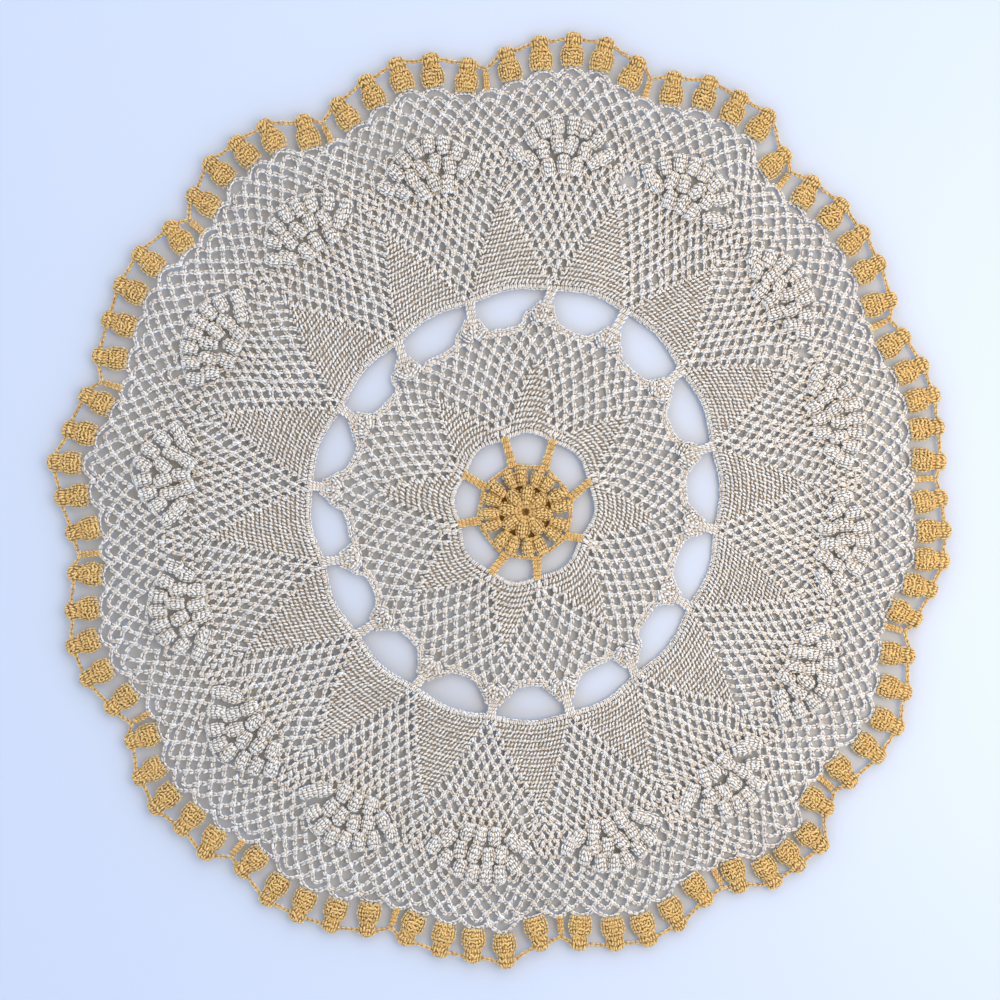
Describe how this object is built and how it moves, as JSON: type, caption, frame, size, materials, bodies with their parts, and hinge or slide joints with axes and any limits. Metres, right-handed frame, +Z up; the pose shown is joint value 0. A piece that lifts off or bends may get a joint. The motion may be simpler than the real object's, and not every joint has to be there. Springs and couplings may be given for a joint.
{
  "type": "lace doily",
  "caption": "Round crochet lace doily, laid flat: a yellow rosette in a beige lace disc and ring with raised popcorn clusters, and a scalloped yellow shell edging.",
  "frame": {"origin": "centre of the doily's box, on the underside that lies on the table", "axes": "+Z up from the table, +Y to the picture's top edge, +X to its right edge"},
  "size_m": [0.4304, 0.4456, 0.0044],
  "materials": {
    "beige_cotton": "matt mercerised crochet cotton",
    "yellow_cotton": "matt mercerised crochet cotton"
  },
  "bodies": {
    "root": {"rosette": "yellow_cotton", "inner_lace": "beige_cotton", "outer_lace": "beige_cotton", "edging": "yellow_cotton"}
  },
  "joints": []
}
